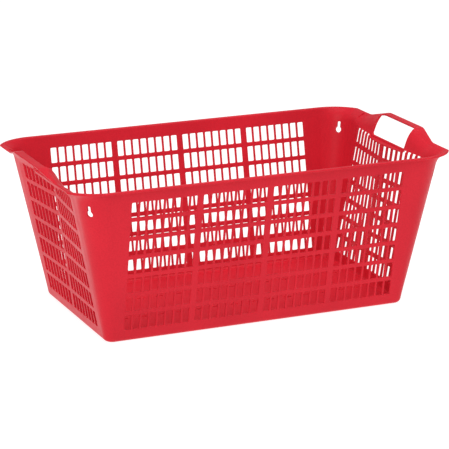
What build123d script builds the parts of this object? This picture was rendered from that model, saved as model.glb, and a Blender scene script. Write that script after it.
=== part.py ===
from build123d import *
import math
import os

# Harvest basket: one tapered tub with slotted walls, a flared thin-edged rim
# and a hand hole at each end.  The tub is split where its regions change
# function: floor, base rails, long walls, V-shaped end walls in two leaves
# each, corner posts, rim runs, rim corners, handle plates and grip rims.
# Every region meets its neighbours face to face.
# Millimetres, +Z up, origin on the ground under the middle of the floor,
# +X along the length, +Y to the back.

# ---------------------------------------------------------------- dimensions
rim_height = 240.0            # top of the rim along the long sides
draft = 11.345                # lean of the tub walls from vertical, degrees
base_half_length = 241.6      # outside of the tub at the ground
base_half_width = 133.05
base_corner_radius = 13.0
wall = 3.2                    # moulded wall thickness
floor_thickness = 3.0
floor_inset = 10.0            # floor edge, inside the outside of the tub
bottom_round = 8.0            # rounding between walls and underside
inner_round = 5.0             # rounding between walls and floor
rail_top = 15.0               # base rails below, slotted walls above

rim_half_length = 304.7       # outer edge of the rim
rim_half_width = 185.35
tip_y = 153.0                 # end edges run straight to the pointed corner tips
corner_round = 65.9           # rim edge from a tip round to the long side
edge = 3.0                    # thickness of the rim's edge
flare_start = 214.0           # corner posts below, flared rim corners above
post_radius = 40.0            # corner radius of the posts at that height
long_wall_top = 226.0         # long walls below, rim runs above

slot_width = 9.85
slot_height = 23.4
slot_corner = 1.2
slot_pitch = 12.99            # columns
row_pitch = 29.73
row_count = 7
row_middle = 119.64           # height of the middle row
panel_columns = 8
panel_count = 4
panel_pitch = 110.43
end_first_column = 9.6        # first column beside the end wall's spine
ledge_slot_tops = (216.2, 216.2, 216.2, 216.2, 220.3)   # top row, from the spine outwards

spine_x = 271.65              # outside of the spine under the ledge
ledge_low = 215.4             # underside of the ledge below the hand hole
ledge_top = 218.0             # end walls below, handle plates above

grip_half_width = 55.0        # flat top of the handle
grip_top = 252.5
grip_out_x = 313.9
ear_y = 102.0                 # where the handle's shoulders meet the rim ends
ear_top = 240.3
hole_half_width = 54.0        # hand hole
hole_bottom = 220.5
hole_corner = 6.0
grip_inner_x = 301.0          # inner edge of the grip bar over the hand hole

key_radius = 5.0              # keyhole in every corner post
key_slot = 5.5
key_height = 205.8
key_rise = 13.0
key_angle = 41.0              # direction it faces, from the length axis, degrees

floor_slot = (12.0, 5.0)      # drain slots
floor_pitch = (30.0, 84.0)
floor_grid = (15, 2)

slope = math.tan(math.radians(draft))
wall_across = wall / math.cos(math.radians(draft))
axis_x = base_half_length - base_corner_radius
axis_y = base_half_width - base_corner_radius
floor_rho = base_corner_radius - floor_inset


# ---------------------------------------------------------------- sections
def outer(z):
    """Distance of the tub's outside from the corner axis at height z."""
    return base_corner_radius + slope * z


def corner_reach(angle):
    """Outside of a post at the flare: two flats and the rounded corner between them."""
    c, s = math.cos(math.radians(angle)), math.sin(math.radians(angle))
    d = outer(flare_start)
    m = d - post_radius
    if s / c <= m / d:
        return d / c
    if c / s <= m / d:
        return d / s
    dot = m * (c + s)
    return dot + math.sqrt(dot * dot - 2 * m * m + post_radius**2)


def post_reach(angle, z):
    """Distance of a post's outside from the corner axis: round at the rail, squarer above."""
    if z <= rail_top:
        return outer(z)
    t = (z - rail_top) / (flare_start - rail_top)
    return outer(rail_top) + (corner_reach(angle) - outer(rail_top)) * t


def foot_points():
    """Section of a base rail, as (distance, height)."""
    return [
        (floor_rho, 0.0),
        (base_corner_radius, 0.0),
        (outer(rail_top), rail_top),
        (outer(rail_top) - wall_across, rail_top),
        (outer(floor_thickness) - wall_across, floor_thickness),
        (floor_rho, floor_thickness),
    ]


def post_points(angle):
    """Section of a corner post with its foot along an angle."""
    foot = foot_points()
    low = outer(rail_top) - 0.05
    top = corner_reach(angle)
    return foot[:2] + [(low, rail_top), (top, flare_start), (top - wall_across, flare_start),
                       (low - wall_across, rail_top)] + foot[4:]


tip_angle = math.degrees(math.atan2(tip_y - axis_y, rim_half_length - axis_x))


def rim_reach(angle):
    """Distance of the rim's outer edge from the corner axis along an angle."""
    ex, ey = rim_half_length - axis_x, rim_half_width - axis_y
    c, s = math.cos(math.radians(angle)), math.sin(math.radians(angle))
    if angle <= tip_angle + 1e-6:
        return ex / c
    cy = ey - corner_round
    cx = ex - math.sqrt(corner_round**2 - (tip_y - axis_y - cy) ** 2)
    if ey / s * c <= cx:
        return ey / s
    dot = c * cx + s * cy
    return dot + math.sqrt(dot * dot - cx * cx - cy * cy + corner_round**2)


plain_lip = rim_half_width - axis_y - outer(rim_height)
z_flare = (flare_start, ledge_top, 225.0, 231.0, rim_height - edge)
flare = (0.0, 0.01, 0.08, 0.36, 1.08)
hollow = (0.0, 0.06, 0.08, 0.06, 0.0)      # slight hollow of the wall under the rim
thicken = (0.0, 0.005, 0.03, 0.075)        # keeps the wall's thickness where it leans out


def flare_points(angle):
    """Outside of the bell-mouthed wall below the rim, as (distance, height)."""
    extra = rim_reach(angle) - post_reach(angle, rim_height) - plain_lip
    return [(post_reach(angle, z) + f * extra - b, z) for z, f, b in zip(z_flare, flare, hollow)], extra


def edge_points(x, out, top):
    """From the wall's outside round the rim's thin edge to the wall's inside."""
    return [
        (out - 1.2, top - edge),
        (out, top - edge + 1.0),
        (out, top - 1.0),
        (out - 0.9, top),
        (x - 1.6, top),
        (x - 3.4, top - 1.5),
    ]


def rim_points(angle):
    """Section of flared wall and rim as one closed outline."""
    pts, extra = flare_points(angle)
    inner = [(r - wall_across - t * extra, z) for (r, z), t in zip(pts, thicken)]
    return pts + edge_points(pts[-1][0], rim_reach(angle), rim_height) + inner[::-1]


def corner_plane(angle):
    c, s = math.cos(math.radians(angle)), math.sin(math.radians(angle))
    return Plane(origin=(axis_x, axis_y, 0), x_dir=(c, s, 0), z_dir=(s, -c, 0))


def end_plane(y):
    """Upright plane across the width: local x is +X, local y is +Z."""
    return Plane(origin=(0, y, 0), x_dir=(1, 0, 0), z_dir=(0, -1, 0))


# handle stations across one end: y, rim top, rim edge, outside of the plate
ear_wall = [(axis_x + r, z) for r, z in flare_points(0.0)[0]][1:]
stations = [
    (axis_y, rim_height, rim_half_length, ear_wall),
    (ear_y, ear_top, rim_half_length,
     [(283.6, ledge_top), (287.6, 225.0), (292.6, 231.2), (300.4, ear_top - edge)]),
    (66.0, 249.7, 311.7,
     [(279.5, ledge_top), (286.2, 227.7), (291.4, 237.8), (302.4, 249.7 - edge)]),
    (grip_half_width, grip_top, grip_out_x,
     [(282.3, ledge_top), (285.7, 228.5), (289.6, 239.5), (298.0, grip_top - edge)]),
]
stations += [(-y, t, o, w) for y, t, o, w in reversed(stations)]


def plate_outline(top, out, w):
    across = (3.3, 3.6, 4.05, 3.9)
    return list(w) + [(x - t, z) for (x, z), t in reversed(list(zip(w, across)))]


def grip_outline(top, out, w):
    x, z = w[3]
    return [(x - 3.9, z)] + edge_points(x, out, top)


# ---------------------------------------------------------------- floor
with BuildPart() as floor_grid_part:
    with BuildSketch():
        RectangleRounded(2 * (axis_x + floor_rho), 2 * (axis_y + floor_rho), floor_rho)
        with GridLocations(*floor_pitch, *floor_grid):
            RectangleRounded(*floor_slot, slot_corner, mode=Mode.SUBTRACT)
    extrude(amount=floor_thickness)
floor_grid_part.part.label = "floor_grid"

# ---------------------------------------------------------------- base rails
foot_corners = ((base_corner_radius, 0.0, bottom_round),
                (outer(floor_thickness) - wall_across, floor_thickness, inner_round))
front_plane = Plane(origin=(axis_x, -axis_y, 0), x_dir=(0, -1, 0), z_dir=(-1, 0, 0))

with BuildPart() as front_base_rail:
    with BuildSketch(front_plane) as front_foot:
        with BuildLine():
            Polyline(*foot_points(), close=True)
        make_face()
        for d, z, r in foot_corners:
            fillet(front_foot.vertices().sort_by_distance((d, z, 0))[0], r)
    extrude(amount=2 * axis_x)
front_base_rail.part.label = "front_base_rail"

with BuildPart() as back_base_rail:
    mirror(front_base_rail.part, about=Plane.XZ)
back_base_rail.part.label = "back_base_rail"

with BuildPart() as right_base_rail:
    with BuildSketch(corner_plane(0)) as end_foot:
        with BuildLine():
            Polyline(*foot_points(), close=True)
        make_face()
        for d, z, r in foot_corners:
            fillet(end_foot.vertices().sort_by_distance((d, z, 0))[0], r)
    extrude(amount=2 * axis_y)
right_base_rail.part.label = "right_base_rail"

with BuildPart() as left_base_rail:
    mirror(right_base_rail.part, about=Plane.YZ)
left_base_rail.part.label = "left_base_rail"

# ---------------------------------------------------------------- long walls
with BuildPart() as front_wall:
    with BuildSketch(front_plane):
        with BuildLine():
            Polyline((outer(rail_top), rail_top), (outer(long_wall_top), long_wall_top),
                     (outer(long_wall_top) - wall_across, long_wall_top),
                     (outer(rail_top) - wall_across, rail_top), close=True)
        make_face()
    extrude(amount=2 * axis_x)
    with BuildSketch(Plane.XZ.offset(110)):
        with Locations(*[((p - 1.5) * panel_pitch, row_middle) for p in range(panel_count)]):
            with GridLocations(slot_pitch, row_pitch, panel_columns, row_count):
                RectangleRounded(slot_width, slot_height, slot_corner)
    extrude(amount=110, mode=Mode.SUBTRACT)
front_wall.part.label = "front_wall"

with BuildPart() as back_wall:
    mirror(front_wall.part, about=Plane.XZ)
back_wall.part.label = "back_wall"

# ---------------------------------------------------------------- end walls
flat_x = axis_x + outer(rail_top)
edge_x = axis_x + outer(ledge_top)         # the panel runs into the corner post


def vee_x(y, z):
    """Outside of the V-shaped panel, straight from the rail to the ledge."""
    top = spine_x + (edge_x - spine_x) * y / axis_y
    return flat_x + (top - flat_x) * (z - rail_top) / (ledge_top - rail_top)


def vee_outline(y, top_x, low):
    """Upright section of the panel at y with its ledge; low is the ledge's underside."""
    return [
        (flat_x, rail_top),
        (vee_x(y, low) - 0.05, low),
        (top_x - 0.25, ledge_top - 1.6),
        (top_x, ledge_top),
        (min(vee_x(y, ledge_top), top_x) - wall_across - 0.05, ledge_top),
        (vee_x(y, flare_start) - wall_across - 0.05, flare_start),
        (flat_x - wall_across, rail_top),
    ]


end_slots = []
for k in range(panel_columns):
    for r in range(row_count):
        low = row_middle + row_pitch * (3 - r) - slot_height / 2
        high = low + slot_height
        if r == 0:
            high = ledge_slot_tops[min(k, 4)]
        end_slots.append((end_first_column + slot_pitch * k, low, high))

with BuildPart() as right_end_wall_back:
    for y, low in ((0.0, ledge_low), (grip_half_width, ledge_low), (66.0, ledge_low),
                   (ear_y, ledge_low), (axis_y, flare_start)):
        top_x = [w[0][0] for s, t, o, w in stations if abs(s - max(y, grip_half_width)) < 1e-6][0]
        with BuildSketch(end_plane(y)):
            with BuildLine():
                Polyline(*vee_outline(y, top_x, low), close=True)
            make_face()
    loft(ruled=True)
    with BuildSketch(Plane.YZ.offset(225)):
        for y, low, high in end_slots:
            with Locations((y, (low + high) / 2)):
                RectangleRounded(slot_width, high - low, slot_corner)
    extrude(amount=90, mode=Mode.SUBTRACT)
right_end_wall_back.part.label = "right_end_wall_back"

with BuildPart() as right_end_wall_front:
    mirror(right_end_wall_back.part, about=Plane.XZ)
right_end_wall_front.part.label = "right_end_wall_front"
with BuildPart() as left_end_wall_back:
    mirror(right_end_wall_back.part, about=Plane.YZ)
left_end_wall_back.part.label = "left_end_wall_back"
with BuildPart() as left_end_wall_front:
    mirror(right_end_wall_front.part, about=Plane.YZ)
left_end_wall_front.part.label = "left_end_wall_front"

# ---------------------------------------------------------------- corner posts
key_c, key_s = math.cos(math.radians(key_angle)), math.sin(math.radians(key_angle))
key_reach = post_reach(key_angle, key_height)
tilt = math.atan2(corner_reach(key_angle) - outer(rail_top), flare_start - rail_top)
key_plane = Plane(
    origin=(axis_x + key_c * key_reach, axis_y + key_s * key_reach, key_height),
    x_dir=(-key_s, key_c, 0),
    z_dir=(math.cos(tilt) * key_c, math.cos(tilt) * key_s, -math.sin(tilt)))

with BuildPart() as corner_post_back_right:
    for angle in (0, 8, 15.8, 20, 25, 30, 35, 40, 45, 50, 55, 60, 65, 70, 74.2, 82, 90):
        with BuildSketch(corner_plane(angle)) as post_section:
            with BuildLine():
                Polyline(*post_points(angle), close=True)
            make_face()
            for d, z, r in foot_corners:
                fillet(post_section.vertices().sort_by_distance((d, z, 0))[0], r)
    loft(ruled=True)
    with Locations((axis_x, axis_y, 0)):
        Cylinder(floor_rho, 4 * floor_thickness, mode=Mode.SUBTRACT)
    with BuildSketch(key_plane):
        Circle(key_radius)
        with Locations((0, key_rise / 2)):
            Rectangle(key_slot, key_rise)
    extrude(amount=9, both=True, mode=Mode.SUBTRACT)
corner_post_back_right.part.label = "corner_post_back_right"

with BuildPart() as corner_post_back_left:
    mirror(corner_post_back_right.part, about=Plane.YZ)
corner_post_back_left.part.label = "corner_post_back_left"
with BuildPart() as corner_post_front_right:
    mirror(corner_post_back_right.part, about=Plane.XZ)
corner_post_front_right.part.label = "corner_post_front_right"
with BuildPart() as corner_post_front_left:
    mirror(corner_post_back_left.part, about=Plane.XZ)
corner_post_front_left.part.label = "corner_post_front_left"

# ---------------------------------------------------------------- rim runs
run_reach = rim_half_width - axis_y
run_top = outer(rim_height - edge)
with BuildPart() as rim_front:
    with BuildSketch(front_plane):
        with BuildLine():
            Polyline((outer(long_wall_top), long_wall_top), (run_top, rim_height - edge),
                     *edge_points(run_top, run_reach, rim_height),
                     (outer(long_wall_top) - wall_across, long_wall_top), close=True)
        make_face()
    extrude(amount=2 * axis_x)
rim_front.part.label = "rim_front"

with BuildPart() as rim_back:
    mirror(rim_front.part, about=Plane.XZ)
rim_back.part.label = "rim_back"

# ---------------------------------------------------------------- rim corners
with BuildPart() as rim_corner_back_right:
    for angle in (0, 8, 15.8, 20, tip_angle):
        with BuildSketch(corner_plane(angle)):
            with BuildLine():
                Polyline(*rim_points(angle), close=True)
            make_face()
    loft(ruled=True)
    for i in range(10):
        angle = tip_angle + (90 - tip_angle) * i / 9
        with BuildSketch(corner_plane(angle)):
            with BuildLine():
                Polyline(*rim_points(angle), close=True)
            make_face()
    loft()
    with BuildSketch(key_plane):
        with Locations((0, key_rise / 2)):
            Rectangle(key_slot, key_rise)
    extrude(amount=9, both=True, mode=Mode.SUBTRACT)
rim_corner_back_right.part.label = "rim_corner_back_right"

with BuildPart() as rim_corner_back_left:
    mirror(rim_corner_back_right.part, about=Plane.YZ)
rim_corner_back_left.part.label = "rim_corner_back_left"
with BuildPart() as rim_corner_front_right:
    mirror(rim_corner_back_right.part, about=Plane.XZ)
rim_corner_front_right.part.label = "rim_corner_front_right"
with BuildPart() as rim_corner_front_left:
    mirror(rim_corner_back_left.part, about=Plane.XZ)
rim_corner_front_left.part.label = "rim_corner_front_left"

# ---------------------------------------------------------------- handles
with BuildPart() as right_handle_plate:
    for y, top, out, w in stations:
        with BuildSketch(end_plane(y)):
            with BuildLine():
                Polyline(*plate_outline(top, out, w), close=True)
            make_face()
    loft(ruled=True)
    with BuildSketch(Plane.YZ.offset(260)) as hand_hole:
        with Locations((0, hole_bottom + 25)):
            Rectangle(2 * hole_half_width, 50)
        fillet(hand_hole.vertices().group_by(Axis.Y)[0], hole_corner)
    extrude(amount=80, mode=Mode.SUBTRACT)
    with BuildSketch(Plane.YZ.offset(260)):
        for y, low, high in end_slots:
            if high > ledge_top:
                with Locations((y, (low + high) / 2), (-y, (low + high) / 2)):
                    RectangleRounded(slot_width, high - low, slot_corner)
    extrude(amount=80, mode=Mode.SUBTRACT)
right_handle_plate.part.label = "right_handle_plate"

with BuildPart() as left_handle_plate:
    mirror(right_handle_plate.part, about=Plane.YZ)
left_handle_plate.part.label = "left_handle_plate"

with BuildPart() as right_grip_rim:
    for y, top, out, w in stations:
        with BuildSketch(end_plane(y)):
            with BuildLine():
                Polyline(*grip_outline(top, out, w), close=True)
            make_face()
    loft(ruled=True)
    with BuildSketch(Plane.XY.offset(grip_top + 5)):
        with Locations(((grip_inner_x + 280) / 2, 0)):
            Rectangle(grip_inner_x - 280, 2 * hole_half_width)
    extrude(amount=-30, mode=Mode.SUBTRACT)
right_grip_rim.part.label = "right_grip_rim"

with BuildPart() as left_grip_rim:
    mirror(right_grip_rim.part, about=Plane.YZ)
left_grip_rim.part.label = "left_grip_rim"

# ---------------------------------------------------------------- files
os.makedirs("parts", exist_ok=True)
for piece in (
    floor_grid_part, front_base_rail, back_base_rail, left_base_rail, right_base_rail,
    front_wall, back_wall,
    left_end_wall_front, left_end_wall_back, right_end_wall_front, right_end_wall_back,
    corner_post_front_left, corner_post_front_right, corner_post_back_left, corner_post_back_right,
    rim_front, rim_back,
    rim_corner_front_left, rim_corner_front_right, rim_corner_back_left, rim_corner_back_right,
    left_handle_plate, right_handle_plate, left_grip_rim, right_grip_rim,
):
    export_step(piece.part, f"parts/{piece.part.label}.step")
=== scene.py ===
import math

import bmesh
import bpy
from mathutils import Matrix, Vector


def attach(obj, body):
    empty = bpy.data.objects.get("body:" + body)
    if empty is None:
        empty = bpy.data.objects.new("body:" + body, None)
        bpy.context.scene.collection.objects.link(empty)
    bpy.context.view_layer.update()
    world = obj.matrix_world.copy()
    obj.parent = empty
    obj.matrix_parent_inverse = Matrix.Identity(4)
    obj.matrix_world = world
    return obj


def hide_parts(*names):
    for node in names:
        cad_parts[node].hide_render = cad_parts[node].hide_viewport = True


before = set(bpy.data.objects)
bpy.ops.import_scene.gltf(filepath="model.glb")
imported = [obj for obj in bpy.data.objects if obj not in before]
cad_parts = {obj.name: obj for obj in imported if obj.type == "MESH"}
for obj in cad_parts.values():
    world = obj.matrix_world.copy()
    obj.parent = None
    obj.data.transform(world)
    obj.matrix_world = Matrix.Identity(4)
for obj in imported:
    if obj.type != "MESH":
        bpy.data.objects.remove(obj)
scene = bpy.context.scene
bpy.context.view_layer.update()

MM = 0.001

# ------------------------------------------------------------------ dimensions
# The same driving sizes as the solid model, in millimetres.
DRAFT = math.radians(11.345)
SLOPE = math.tan(DRAFT)
WALL = 3.2
ACROSS = WALL / math.cos(DRAFT)
AX, AY, R0 = 228.6, 120.05, 13.0
FOOT = 3.0
FLOOR = 3.0
RAIL = 15.0
RIM_X, RIM_Y = 304.7, 185.35
TIP_Y, RIM_R = 153.0, 65.9
TOP = 240.0
EDGE = 3.0
FLARE_Z = 214.0
LONG_TOP = 226.0
SLOT_W, SLOT_H = 9.85, 23.4
PITCH, ROW = 12.99, 29.73
ROW_MID = 119.64
PANEL = 110.43
END_FIRST = 9.6
SPINE_X = 271.65
LEDGE_LOW, LEDGE_TOP = 215.4, 218.0
LEAF_TOP = 221.5
LEDGE_SLOTS = (216.2, 216.2, 216.2, 216.2, 220.3)
GRIP_Y, GRIP_Z, GRIP_X = 55.0, 252.5, 313.9
EAR_Y, EAR_Z = 102.0, 240.3
HOLE_Y, HOLE_Z = 54.0, 220.5
GRIP_IN = 301.0
KEY_Z, KEY_ANGLE = 205.8, math.radians(41.0)
POST_R = 40.0


def outer(z):
    return R0 + SLOPE * z


def lerp(a, b, t):
    return a + (b - a) * t


def corner_reach(angle):
    """Outside of a corner post where the flare starts: two flats and a rounded corner."""
    c, s = math.cos(angle), math.sin(angle)
    d = outer(FLARE_Z)
    m = d - POST_R
    if s * d <= m * c:
        return d / c
    if c * d <= m * s:
        return d / s
    dot = m * (c + s)
    return dot + math.sqrt(dot * dot - 2 * m * m + POST_R ** 2)


def post_reach(angle, z):
    """Distance of a post's outside from the corner axis: round at the rail, squarer above."""
    if z <= RAIL:
        return outer(z)
    return lerp(outer(RAIL), corner_reach(angle), (z - RAIL) / (FLARE_Z - RAIL))


def table(x, pts):
    """Straight-line interpolation in a list of (x, y)."""
    if x <= pts[0][0]:
        return pts[0][1]
    for (x0, y0), (x1, y1) in zip(pts, pts[1:]):
        if x <= x1:
            return lerp(y0, y1, (x - x0) / (x1 - x0))
    return pts[-1][1]


def eased(x, pts, width):
    """The same, with its corners rounded over a width."""
    n = 12
    return sum(table(x + width * ((k + 0.5) / n - 0.5), pts) for k in range(n)) / n


# ------------------------------------------------------------------ materials
def red_plastic(name, tone=1.0, rough=(0.30, 0.40), gloss=0.10):
    m = bpy.data.materials.new(name)
    m.use_nodes = True
    nt = m.node_tree
    nt.nodes.clear()
    out = nt.nodes.new("ShaderNodeOutputMaterial")
    bsdf = nt.nodes.new("ShaderNodeBsdfPrincipled")
    nt.links.new(bsdf.outputs[0], out.inputs[0])
    coord = nt.nodes.new("ShaderNodeTexCoord")

    def noise(scale, detail, rough=0.5):
        n = nt.nodes.new("ShaderNodeTexNoise")
        n.inputs["Scale"].default_value = scale
        n.inputs["Detail"].default_value = detail
        n.inputs["Roughness"].default_value = rough
        nt.links.new(coord.outputs["Object"], n.inputs["Vector"])
        return n

    # colour: slow flow marks of the melt and a very fine pigment speckle
    flow = noise(7.0, 3.0)
    speck = noise(420.0, 2.0)
    ramp = nt.nodes.new("ShaderNodeValToRGB")
    ramp.color_ramp.elements[0].position = 0.30
    ramp.color_ramp.elements[0].color = (0.610 * tone, 0.0165 * tone, 0.0310 * tone, 1)
    ramp.color_ramp.elements[1].position = 0.72
    ramp.color_ramp.elements[1].color = (0.710 * tone, 0.0205 * tone, 0.0370 * tone, 1)
    nt.links.new(flow.outputs["Fac"], ramp.inputs["Fac"])
    mix = nt.nodes.new("ShaderNodeMix")
    mix.data_type = "RGBA"
    mix.blend_type = "MULTIPLY"
    ramp2 = nt.nodes.new("ShaderNodeValToRGB")
    ramp2.color_ramp.elements[0].position = 0.35
    ramp2.color_ramp.elements[0].color = (0.93, 0.93, 0.93, 1)
    ramp2.color_ramp.elements[1].position = 0.60
    ramp2.color_ramp.elements[1].color = (1, 1, 1, 1)
    nt.links.new(speck.outputs["Fac"], ramp2.inputs["Fac"])
    mix.inputs["Factor"].default_value = 1.0
    nt.links.new(ramp.outputs["Color"], mix.inputs["A"])
    nt.links.new(ramp2.outputs["Color"], mix.inputs["B"])
    nt.links.new(mix.outputs["Result"], bsdf.inputs["Base Color"])

    # satin skin: roughness drifts a little, with faint handling scuffs
    scuff = noise(55.0, 6.0, 0.65)
    mr = nt.nodes.new("ShaderNodeMapRange")
    mr.inputs["From Min"].default_value = 0.35
    mr.inputs["From Max"].default_value = 0.70
    mr.inputs["To Min"].default_value = rough[0]
    mr.inputs["To Max"].default_value = rough[1]
    nt.links.new(scuff.outputs["Fac"], mr.inputs["Value"])
    nt.links.new(mr.outputs["Result"], bsdf.inputs["Roughness"])

    # surface: shallow sink of the wall and a fine spark-eroded mould texture
    sink = noise(26.0, 2.0)
    grain = noise(900.0, 3.0, 0.6)
    b1 = nt.nodes.new("ShaderNodeBump")
    b1.inputs["Strength"].default_value = 0.18
    b1.inputs["Distance"].default_value = 0.0012
    nt.links.new(sink.outputs["Fac"], b1.inputs["Height"])
    b2 = nt.nodes.new("ShaderNodeBump")
    b2.inputs["Strength"].default_value = 0.12
    b2.inputs["Distance"].default_value = 0.0002
    nt.links.new(grain.outputs["Fac"], b2.inputs["Height"])
    nt.links.new(b1.outputs["Normal"], b2.inputs["Normal"])
    nt.links.new(b2.outputs["Normal"], bsdf.inputs["Normal"])

    bsdf.inputs["IOR"].default_value = 1.49
    bsdf.inputs["Specular IOR Level"].default_value = gloss
    bsdf.inputs["Subsurface Weight"].default_value = 0.0
    return m


RED = red_plastic("red_plastic_moulded")
# the floor's upper face is scuffed duller by what is carried
RED_FLOOR = red_plastic("red_plastic_scuffed", 1.0, (0.50, 0.62), 0.12)


# ------------------------------------------------------------------ mesh tools
def finish(name, bm, nodes, bevel=0.0, segments=2, sharp=42.0, cut=None, skin=None):
    """Turns a closed bmesh, in millimetres, into a finished piece that stands for its nodes."""
    bmesh.ops.recalc_face_normals(bm, faces=bm.faces)
    bmesh.ops.scale(bm, vec=(MM, MM, MM), verts=bm.verts)
    me = bpy.data.meshes.new(name)
    bm.to_mesh(me)
    bm.free()
    ob = bpy.data.objects.new(name, me)
    scene.collection.objects.link(ob)
    if cut is not None:
        b = ob.modifiers.new("cut", "BOOLEAN")
        b.operation = "DIFFERENCE"
        b.solver = "EXACT"
        b.object = cut
    if bevel:
        b = ob.modifiers.new("edges", "BEVEL")
        b.width = bevel * MM
        b.segments = segments
        b.limit_method = "WEIGHT"
        b.use_clamp_overlap = True
    if ob.modifiers:
        dg = bpy.context.evaluated_depsgraph_get()
        new = bpy.data.meshes.new_from_object(ob.evaluated_get(dg))
        ob.modifiers.clear()
        ob.data = new
        new.name = name
    for p in ob.data.polygons:
        p.use_smooth = True
    ob.data.set_sharp_from_angle(angle=math.radians(sharp))
    w = ob.modifiers.new("normals", "WEIGHTED_NORMAL")
    w.keep_sharp = True
    w.weight = 80
    dg = bpy.context.evaluated_depsgraph_get()
    new = bpy.data.meshes.new_from_object(ob.evaluated_get(dg))
    ob.modifiers.clear()
    ob.data = new
    new.name = name
    ob.data.materials.clear()
    ob.data.materials.append(skin or RED)
    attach(ob, "root")
    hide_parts(*nodes)
    return ob


def sheet(out, inn, holes=(), edge=0.0, corner=0.0):
    """Closed wall from two grids of points; cells in holes are left open.
    edge and corner are the bevel weights of the rims and corners of the openings."""
    ni, nj = len(out), len(out[0])
    bm = bmesh.new()
    weight = bm.edges.layers.float.new("bevel_weight_edge")
    holes = set(holes)
    made = {}

    def v(side, i, j):
        k = (side, i, j)
        if k not in made:
            made[k] = bm.verts.new((out if side == 0 else inn)[i][j])
        return made[k]

    def solid(i, j):
        return 0 <= i < ni - 1 and 0 <= j < nj - 1 and (i, j) not in holes

    marks = []
    for i in range(ni - 1):
        for j in range(nj - 1):
            if not solid(i, j):
                continue
            q = [(i, j), (i + 1, j), (i + 1, j + 1), (i, j + 1)]
            bm.faces.new([v(0, *c) for c in q])
            bm.faces.new([v(1, *c) for c in reversed(q)])
            for a, b, n in ((0, 1, (i, j - 1)), (1, 2, (i + 1, j)), (2, 3, (i, j + 1)), (3, 0, (i - 1, j))):
                if not solid(*n):
                    bm.faces.new([v(0, *q[b]), v(0, *q[a]), v(1, *q[a]), v(1, *q[b])])
                    if n in holes:
                        marks.append((q[a], q[b]))
    for a, b in marks:
        for side in (0, 1):
            e = bm.edges.get((v(side, *a), v(side, *b)))
            e[weight] = edge
    if corner:
        for i in range(1, ni - 1):
            for j in range(1, nj - 1):
                near = [(i - 1, j - 1), (i, j - 1), (i - 1, j), (i, j)]
                if sum(n in holes for n in near) in (1, 3):
                    e = bm.edges.get((v(0, i, j), v(1, i, j)))
                    if e:
                        e[weight] = corner
    return bm


def tube(sections):
    """Closed solid through a row of closed sections with equal point counts."""
    bm = bmesh.new()
    rings = [[bm.verts.new(p) for p in s] for s in sections]
    n = len(rings[0])
    for a, b in zip(rings, rings[1:]):
        for k in range(n):
            bm.faces.new([a[k], a[(k + 1) % n], b[(k + 1) % n], b[k]])
    bm.faces.new(rings[0])
    bm.faces.new(list(reversed(rings[-1])))
    return bm


def flip(pts, sx, sy):
    return [(sx * x, sy * y, z) for x, y, z in pts]


# ------------------------------------------------------------------ wall section
def foot_section(zs):
    """Outside and inside of a wall from the floor's edge up, as (distance, height).
    zs are the heights of the stations above the rounding."""
    o, n = [(FOOT, 0.0)], [(FOOT, FLOOR)]
    turn = math.pi / 2 - DRAFT
    for r, corner_r, corner_z, run in ((8.0, R0, 0.0, o), (5.0, outer(FLOOR) - ACROSS, FLOOR, n)):
        start = corner_r - r * math.tan(turn / 2)
        for k in range(8):
            a = turn * k / 7
            run.append((start + r * math.sin(a), corner_z + r - r * math.cos(a)))
    for z in zs:
        o.append((outer(z), z))
        n.append((outer(z) - ACROSS, z))
    return o, n


ROW_Z = []
for r in range(6, -1, -1):
    mid = ROW_MID + ROW * (3 - r)
    ROW_Z += [mid - SLOT_H / 2, mid + SLOT_H / 2]


# ------------------------------------------------------------------ floor
def floor_piece():
    sx, sy = 12.0, 5.0
    xs, ys = [-(AX + FOOT)], [-(AY + FOOT)]
    for k in range(15):
        c = (k - 7) * 30.0
        xs += [c - sx / 2, c + sx / 2]
    for c in (-42.0, 42.0):
        ys += [c - sy / 2, c + sy / 2]
    xs.append(AX + FOOT)
    ys.append(AY + FOOT)
    top = [[(x, y, FLOOR) for y in ys] for x in xs]
    low = [[(x, y, 0.0) for y in ys] for x in xs]
    holes = [(1 + 2 * a, 1 + 2 * b) for a in range(15) for b in range(2)]
    bm = sheet(top, low, holes, edge=0.4, corner=1.0)
    finish("floor_slotted", bm, ["floor_grid"], bevel=1.3, skin=RED_FLOOR)


# ------------------------------------------------------------------ base rails
def base_rail(name, node, sx, sy):
    o, n = foot_section([RAIL])
    loop = o + n[::-1]
    ends = [lerp(-1, 1, k / 8) for k in range(9)]
    if sx:
        rings = [[(sx * (AX + d), e * AY, z) for d, z in loop] for e in ends]
    else:
        rings = [[(e * AX, sy * (AY + d), z) for d, z in loop] for e in ends]
    finish(name, tube(rings), [node])


# ------------------------------------------------------------------ long walls
def long_wall(name, node, sy):
    xs = [-AX]
    for p in range(4):
        for c in range(8):
            x = (p - 1.5) * PANEL + (c - 3.5) * PITCH
            xs += [x - SLOT_W / 2, x + SLOT_W / 2]
    xs.append(AX)
    zs = [RAIL] + ROW_Z + [LONG_TOP]
    out = [[(x, sy * (AY + outer(z)), z) for z in zs] for x in xs]
    inn = [[(x, sy * (AY + outer(z) - ACROSS), z) for z in zs] for x in xs]
    holes = [(1 + 2 * c, 1 + 2 * r) for c in range(32) for r in range(7)]
    bm = sheet(out, inn, holes, edge=0.58, corner=1.0)
    finish(name, bm, [node], bevel=1.3)


# ------------------------------------------------------------------ end walls
def z_top(y):
    return eased(abs(y), [(0, GRIP_Z), (GRIP_Y, GRIP_Z), (EAR_Y, EAR_Z), (AY, TOP), (140, TOP)], 9.0)


def x_out(y):
    return eased(abs(y), [(0, GRIP_X), (GRIP_Y, GRIP_X), (EAR_Y, RIM_X), (140, RIM_X)], 9.0)


def flare(z):
    return 1.08 * max(0.0, (z - FLARE_Z) / (TOP - EDGE - FLARE_Z)) ** 4.4


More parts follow.
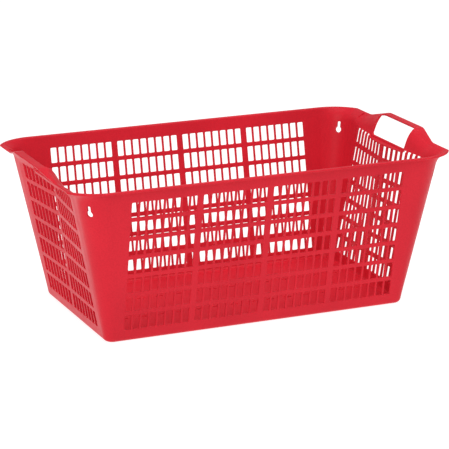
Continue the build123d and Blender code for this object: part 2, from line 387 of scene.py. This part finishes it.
LIP_PLAIN = RIM_Y - AY - outer(TOP)
END_EXTRA = RIM_X - AX - outer(TOP) - LIP_PLAIN


def plate_out(y, z):
    """Outside of the plate round the hand hole."""
    y = abs(y)
    t = (z - LEDGE_TOP) / (z_top(y) - EDGE - LEDGE_TOP)
    t = max(-0.2, t)
    u = max(0.0, t)
    v = max(0.0, 1.0 - u / 0.33) ** 2
    grip = 282.3 + 10.6 * t + 5.1 * u ** 4.0
    shoulder = 282.8 - 3.3 * v + 9.2 * t + 10.4 * u ** 3.5
    ear = 284.4 - 0.8 * v + 8.2 * t + 7.8 * u ** 2.8
    ze = LEDGE_TOP + (TOP - EDGE - LEDGE_TOP) * t
    run = [(0.0, grip), (54.0, grip), (56.3, grip - 3.9 * v), (66.0, shoulder), (EAR_Y, ear), (AY, AX + outer(ze) + flare(ze) * END_EXTRA)]
    return table(y, run)


FLAT_X = AX + outer(RAIL)
EDGE_X = AX + outer(LEDGE_TOP)


def vee_x(y, z):
    """Outside of the V-shaped end panel, straight from the rail to the ledge."""
    top = lerp(SPINE_X, EDGE_X, y / AY)
    return FLAT_X + (top - FLAT_X) * (z - RAIL) / (LEDGE_TOP - RAIL)


def end_leaf(name, node, sx, sy):
    cols, slots = [0.0], []
    for k in range(8):
        y = END_FIRST + PITCH * k
        if k == 4:
            cols.append(HOLE_Y)
        slots.append((len(cols), k))
        cols += [y - SLOT_W / 2, y + SLOT_W / 2]
    cols += [112.0, AY]
    out, inn = [], []
    for y in cols:
        low = LEDGE_LOW if y < 112.0 else FLARE_Z
        co = [(vee_x(y, z), z) for z in [RAIL] + ROW_Z[:-1] + [low]]
        cn = [(vee_x(y, z) - ACROSS, z) for z in [RAIL] + ROW_Z[:-1] + [low]]
        tx = plate_out(y, LEDGE_TOP)
        if y <= HOLE_Y:
            slot = LEDGE_SLOTS[0]
            co += [(lerp(co[-1][0], tx - 0.25, 0.8), slot), (tx - 0.25, 216.4), (tx - 0.1, 217.2), (tx, LEDGE_TOP)]
            cn += [(vee_x(y, z) - ACROSS, z) for z in (slot, 216.9, 217.5, LEDGE_TOP)]
        else:
            slot = LEDGE_SLOTS[4]
            co += [(lerp(vee_x(y, 216.4), tx - 0.25, min(1.0, (AY - y) / 8.0)), 216.4), (tx, LEDGE_TOP),
                   (plate_out(y, slot), slot), (plate_out(y, LEAF_TOP), LEAF_TOP)]
            xi = vee_x(y, LEDGE_TOP - 0.1) - ACROSS
            cn += [(min(xi, tx - 3.4), LEDGE_TOP - 0.1), (max(xi + 0.02, tx - 3.35), LEDGE_TOP + 0.1),
                   (plate_out(y, slot) - 3.4, slot), (plate_out(y, LEAF_TOP) - 3.45, LEAF_TOP)]
        out.append([(sx * x, sy * y, z) for x, z in co])
        inn.append([(sx * x, sy * y, z) for x, z in cn])
    holes = []
    for i, k in slots:
        holes += [(i, 1 + 2 * r) for r in range(7)]
        holes += [(i, 14)] if k < 4 else [(i, 14), (i, 15), (i, 16)]
    bm = sheet(out, inn, holes, edge=0.58, corner=1.0)
    finish(name, bm, [node], bevel=1.3)


# ------------------------------------------------------------------ corner posts
def keyhole_cutter(sx, sy):
    c, s = math.cos(KEY_ANGLE), math.sin(KEY_ANGLE)
    reach = post_reach(KEY_ANGLE, KEY_Z)
    tilt = math.atan2(corner_reach(KEY_ANGLE) - outer(RAIL), FLARE_Z - RAIL)
    o = Vector((AX + c * reach, AY + s * reach, KEY_Z))
    nrm = Vector((math.cos(tilt) * c, math.cos(tilt) * s, -math.sin(tilt)))
    side = Vector((-s, c, 0.0))
    up = nrm.cross(side)
    if up.z < 0:
        up = -up
    r, w, rise = 5.0, 2.75, 13.0
    a0 = math.degrees(math.asin(w / r))
    pts = [(w, rise - 1.0), (w - 1.0, rise), (-w + 1.0, rise), (-w, rise - 1.0)]
    n = 40
    for k in range(n + 1):
        a = math.radians(90 + a0 + (360 - 2 * a0) * k / n)
        pts.append((r * math.cos(a), r * math.sin(a)))
    rings = []
    for depth in (-9.0, 9.0):
        rings.append(flip([tuple(o + side * p + up * q + nrm * depth) for p, q in pts], sx, sy))
    bm = tube(rings)
    bmesh.ops.recalc_face_normals(bm, faces=bm.faces)
    bmesh.ops.scale(bm, vec=(MM, MM, MM), verts=bm.verts)
    me = bpy.data.meshes.new("keyhole")
    bm.to_mesh(me)
    bm.free()
    ob = bpy.data.objects.new("keyhole", me)
    scene.collection.objects.link(ob)
    return ob


POST_Z = [RAIL, 60.0, 100.0, 140.0, 170.0, 190.0, 205.0, FLARE_Z]


def corner_post(name, node, sx, sy, cut):
    o, n = foot_section([])
    out, inn = [], []
    steps = 36
    for k in range(steps + 1):
        a = math.pi / 2 * (1 - k / steps)
        c, s = math.cos(a), math.sin(a)
        up = [(post_reach(a, z), z) for z in POST_Z]
        out.append(flip([(AX + c * d, AY + s * d, z) for d, z in o + up], sx, sy))
        inn.append(flip([(AX + c * d, AY + s * d, z) for d, z in n + [(d - ACROSS, z) for d, z in up]], sx, sy))
    finish(name, sheet(out, inn), [node], sharp=50.0, cut=cut)


# ------------------------------------------------------------------ rim
TIP_ANGLE = math.atan2(TIP_Y - AY, RIM_X - AX)


def reach_at(angle):
    """Distance of the rim's outer edge from the corner axis: straight to the tip, then round."""
    ex, ey = RIM_X - AX, RIM_Y - AY
    c, s = math.cos(angle), math.sin(angle)
    if angle <= TIP_ANGLE + 1e-9:
        return ex / c
    cy = ey - RIM_R
    cx = ex - math.sqrt(RIM_R ** 2 - (TIP_Y - AY - cy) ** 2)
    if ey / s * c <= cx:
        return ey / s
    dot = c * cx + s * cy
    return dot + math.sqrt(dot * dot - cx * cx - cy * cy + RIM_R ** 2)


def edge_points(start, reach, top):
    """From the wall's outside round the rim's thin edge to its top."""
    zu = top - EDGE
    r = 1.35
    pts = [(start + 1.0, zu)]
    for cz, a0 in ((zu + r, -math.pi / 2), (top - r, 0.0)):
        for k in range(5):
            a = a0 + math.pi / 2 * k / 4
            pts.append((reach - r + r * math.cos(a), cz + r * math.sin(a)))
    return pts


def rim_loop(reach, bottom, base=outer):
    """Closed section of flared wall and rim, as (distance, height)."""
    extra = reach - base(TOP) - LIP_PLAIN
    wall = lambda z: base(z) + flare(z) * extra
    lean = lambda z: (wall(z + 0.05) - wall(z - 0.05)) / 0.1
    zu = TOP - EDGE
    zs = [lerp(bottom, zu - 0.8, k / 9) for k in range(10)]
    pts = [(wall(z), z) for z in zs]
    w = wall(zu)
    pts.append((lerp(wall(zu - 0.8), w, 0.8) + 0.15, zu - 0.25))
    pts += edge_points(w, reach, TOP)

    def inside(z):
        s = lean(z)
        q = math.sqrt(1 + s * s)
        return wall(z) - WALL / q, z + WALL * s / q

    lo, hi = bottom, TOP
    for _ in range(40):
        m = (lo + hi) / 2
        if inside(m)[1] < TOP - 2.0:
            lo = m
        else:
            hi = m
    end = lo
    p0 = inside(end)
    s = lean(end)
    c = (p0[0] + s * (TOP - p0[1]), TOP)
    e = (c[0] + 1.8, TOP)
    for k in range(5):
        t = 1 - k / 4
        u = 1 - t
        pts.append((u * u * p0[0] + 2 * u * t * c[0] + t * t * e[0],
                    u * u * p0[1] + 2 * u * t * c[1] + t * t * e[1]))
    for k in range(8, 0, -1):
        z = lerp(bottom, end, k / 9)
        pts.append(inside(z))
    pts.append((base(bottom) - ACROSS, bottom))
    return pts


def rim_run(name, node, sy):
    loop = rim_loop(RIM_Y - AY, LONG_TOP)
    xs = [lerp(-AX, AX, k / 8) for k in range(9)]
    finish(name, tube([[(x, sy * (AY + d), z) for d, z in loop] for x in xs]), [node])


def rim_corner(name, node, sx, sy, cut):
    sections = []
    turns = [TIP_ANGLE * k / 10 for k in range(10)]
    turns += [lerp(TIP_ANGLE, math.pi / 2, k / 28) for k in range(29)]
    for a in turns:
        c, s = math.cos(a), math.sin(a)
        loop = rim_loop(reach_at(a), FLARE_Z, lambda z: post_reach(a, z))
        sections.append(flip([(AX + c * d, AY + s * d, z) for d, z in loop], sx, sy))
    finish(name, tube(sections), [node], cut=cut)


# ------------------------------------------------------------------ handles
def handle_plate(name, node, sx):
    ys = [0.0, 15.0, 30.0, 45.0, HOLE_Y, END_FIRST + 4 * PITCH - SLOT_W / 2, 62.0, 68.0, 76.0, 84.0, 93.0,
          EAR_Y, 107.0, 112.0, AY]
    ys = [-y for y in reversed(ys[1:])] + ys
    out, inn = [], []
    for y in ys:
        zu = z_top(y) - EDGE
        z0 = LEDGE_TOP if abs(y) <= HOLE_Y else LEAF_TOP
        z1 = max(HOLE_Z, z0 + 1.5)
        co, cn = [], []
        for k in range(9):
            z = z0 if k == 0 else lerp(z1, zu, (k - 1) / 7)
            t = (z - LEDGE_TOP) / (zu - LEDGE_TOP)
            x = plate_out(y, z)
            co.append((sx * x, y, z))
            cn.append((sx * (x - table(t, [(0, 3.3), (0.7, 4.0), (1, 3.9)])), y, z))
        out.append(co)
        inn.append(cn)
    lo, hi = ys.index(-HOLE_Y), ys.index(HOLE_Y)
    holes = [(i, j) for i in range(lo, hi) for j in range(1, 8)]
    bm = sheet(out, inn, holes, edge=0.12, corner=1.0)
    finish(name, bm, [node], bevel=6.0, segments=4)


def grip_rim(name, node, sx):
    ys = {0.0, AY}
    k = 0.0
    while k < AY:
        ys.add(round(k, 3))
        k += 3.0
    web = 9.0
    for q in range(9):
        a = math.pi / 2 * q / 8
        ys.add(round(HOLE_Y - web + web * math.sin(a), 3))
    ys = sorted(ys)
    ys = [-y for y in reversed(ys[1:])] + ys
    sections = []
    for y in ys:
        top, reach = z_top(y), x_out(y)
        zu = top - EDGE
        plate_in = plate_out(y, zu) - 3.9
        u = (abs(y) - (HOLE_Y - web)) / web
        if u <= 0:
            x_in = GRIP_IN
        elif u < 1:
            x_in = lerp(GRIP_IN, plate_in, 1 - math.sqrt(max(0.0, 1 - u * u)))
        else:
            x_in = plate_in
        free = 1.0 - min(1.0, max(0.0, u))
        rb = lerp(0.03, 1.3, min(1.0, 3 * free))
        loop = [(x_in, zu + rb), (x_in + 0.29 * rb, zu + 0.29 * rb), (x_in + rb, zu)]
        start = max(x_in + rb + 0.2, plate_out(y, zu))
        loop += edge_points(start, reach, top)
        f = min(1.0, 3 * free)
        p0 = (x_in, lerp(zu + 0.06, top - 1.4, f))
        c = (x_in + lerp(1.4 * (top - p0[1]), 0.0, f), top)
        e = (c[0] + lerp(2.0, 1.4, f), top)
        for k in range(5):
            t = 1 - k / 4
            v = 1 - t
            loop.append((v * v * p0[0] + 2 * v * t * c[0] + t * t * e[0],
                         v * v * p0[1] + 2 * v * t * c[1] + t * t * e[1]))
        sections.append([(sx * x, y, z) for x, z in loop])
    finish(name, tube(sections), [node])


# ------------------------------------------------------------------ assembly
floor_piece()
long_wall("front_wall_slotted", "front_wall", -1)
long_wall("back_wall_slotted", "back_wall", 1)
rim_run("front_rim", "rim_front", -1)
rim_run("back_rim", "rim_back", 1)
base_rail("front_foot", "front_base_rail", 0, -1)
base_rail("back_foot", "back_base_rail", 0, 1)
base_rail("left_foot", "left_base_rail", -1, 0)
base_rail("right_foot", "right_base_rail", 1, 0)
for side, sx in (("left", -1), ("right", 1)):
    handle_plate(f"{side}_handle_cheeks", f"{side}_handle_plate", sx)
    grip_rim(f"{side}_grip", f"{side}_grip_rim", sx)
    for face, sy in (("front", -1), ("back", 1)):
        end_leaf(f"{side}_end_leaf_{face}", f"{side}_end_wall_{face}", sx, sy)
        tool = keyhole_cutter(sx, sy)
        corner_post(f"{face}_{side}_post", f"corner_post_{face}_{side}", sx, sy, tool)
        rim_corner(f"{face}_{side}_rim_corner", f"rim_corner_{face}_{side}", sx, sy, tool)
        bpy.data.objects.remove(tool, do_unlink=True)


# ------------------------------------------------------------------ stage
def pale_floor():
    m = bpy.data.materials.new("pale_floor")
    m.use_nodes = True
    nt = m.node_tree
    bsdf = nt.nodes["Principled BSDF"]
    n = nt.nodes.new("ShaderNodeTexNoise")
    n.inputs["Scale"].default_value = 3.0
    ramp = nt.nodes.new("ShaderNodeValToRGB")
    ramp.color_ramp.elements[0].color = (0.33, 0.33, 0.33, 1)
    ramp.color_ramp.elements[1].color = (0.36, 0.36, 0.36, 1)
    nt.links.new(n.outputs["Fac"], ramp.inputs["Fac"])
    nt.links.new(ramp.outputs["Color"], bsdf.inputs["Base Color"])
    bsdf.inputs["Roughness"].default_value = 0.9
    bsdf.inputs["Specular IOR Level"].default_value = 0.1
    bsdf.inputs["Emission Color"].default_value = (1.0, 1.0, 1.0, 1)
    bsdf.inputs["Emission Strength"].default_value = 0.87
    me = bpy.data.meshes.new("studio_floor")
    s = 30.0
    me.from_pydata([(-s, -s, -0.0002), (s, -s, -0.0002), (s, s, -0.0002), (-s, s, -0.0002)], [], [(0, 1, 2, 3)])
    ob = bpy.data.objects.new("studio_floor", me)
    scene.collection.objects.link(ob)
    me.materials.append(m)


pale_floor()

world = bpy.data.worlds.new("studio")
scene.world = world
world.use_nodes = True
bg = world.node_tree.nodes["Background"]
bg.inputs["Color"].default_value = (1.0, 1.0, 1.0, 1)
bg.inputs["Strength"].default_value = 0.32


def area(name, loc, target, size, power, colour=(1, 1, 1)):
    light = bpy.data.lights.new(name, "AREA")
    light.shape = "RECTANGLE"
    light.size, light.size_y = size
    light.energy = power
    light.color = colour
    ob = bpy.data.objects.new(name, light)
    ob.location = loc
    ob.rotation_euler = (Vector(target) - Vector(loc)).to_track_quat("-Z", "Y").to_euler()
    scene.collection.objects.link(ob)
    return ob


area("key_left", (-2.6, -1.2, 1.6), (0, 0, 0.1), (2.0, 1.6), 30)
area("top_soft", (0.2, -0.6, 2.6), (0, 0.1, 0.1), (3.0, 3.0), 62)
area("front_fill", (0.8, -3.0, 1.4), (0, 0, 0.1), (2.0, 1.4), 2)

# ------------------------------------------------------------------ camera
AZ, EL, ROLL = math.radians(-23.3428), math.radians(15.9253), math.radians(-0.1504)
DIST = 3.463554
target = Vector((0.001955, 0.0, 0.117835))
back = Vector((math.sin(AZ) * math.cos(EL), -math.cos(AZ) * math.cos(EL), math.sin(EL)))
fwd = -back
right = fwd.cross(Vector((0, 0, 1))).normalized()
up = right.cross(fwd)
r2 = right * math.cos(ROLL) + up * math.sin(ROLL)
u2 = -right * math.sin(ROLL) + up * math.cos(ROLL)
pos = target + back * DIST
cam = bpy.data.cameras.new("photo_view")
cam.sensor_fit = "HORIZONTAL"
cam.sensor_width = 36.0
cam.lens = 2263.21 / 449.0 * 36.0
cam.clip_end = 100.0
cam_ob = bpy.data.objects.new("photo_view", cam)
cam_ob.matrix_world = Matrix((
    (r2.x, u2.x, back.x, pos.x),
    (r2.y, u2.y, back.y, pos.y),
    (r2.z, u2.z, back.z, pos.z),
    (0, 0, 0, 1)))
scene.collection.objects.link(cam_ob)
scene.camera = cam_ob
scene.view_settings.view_transform = "Standard"
scene.view_settings.look = "None"
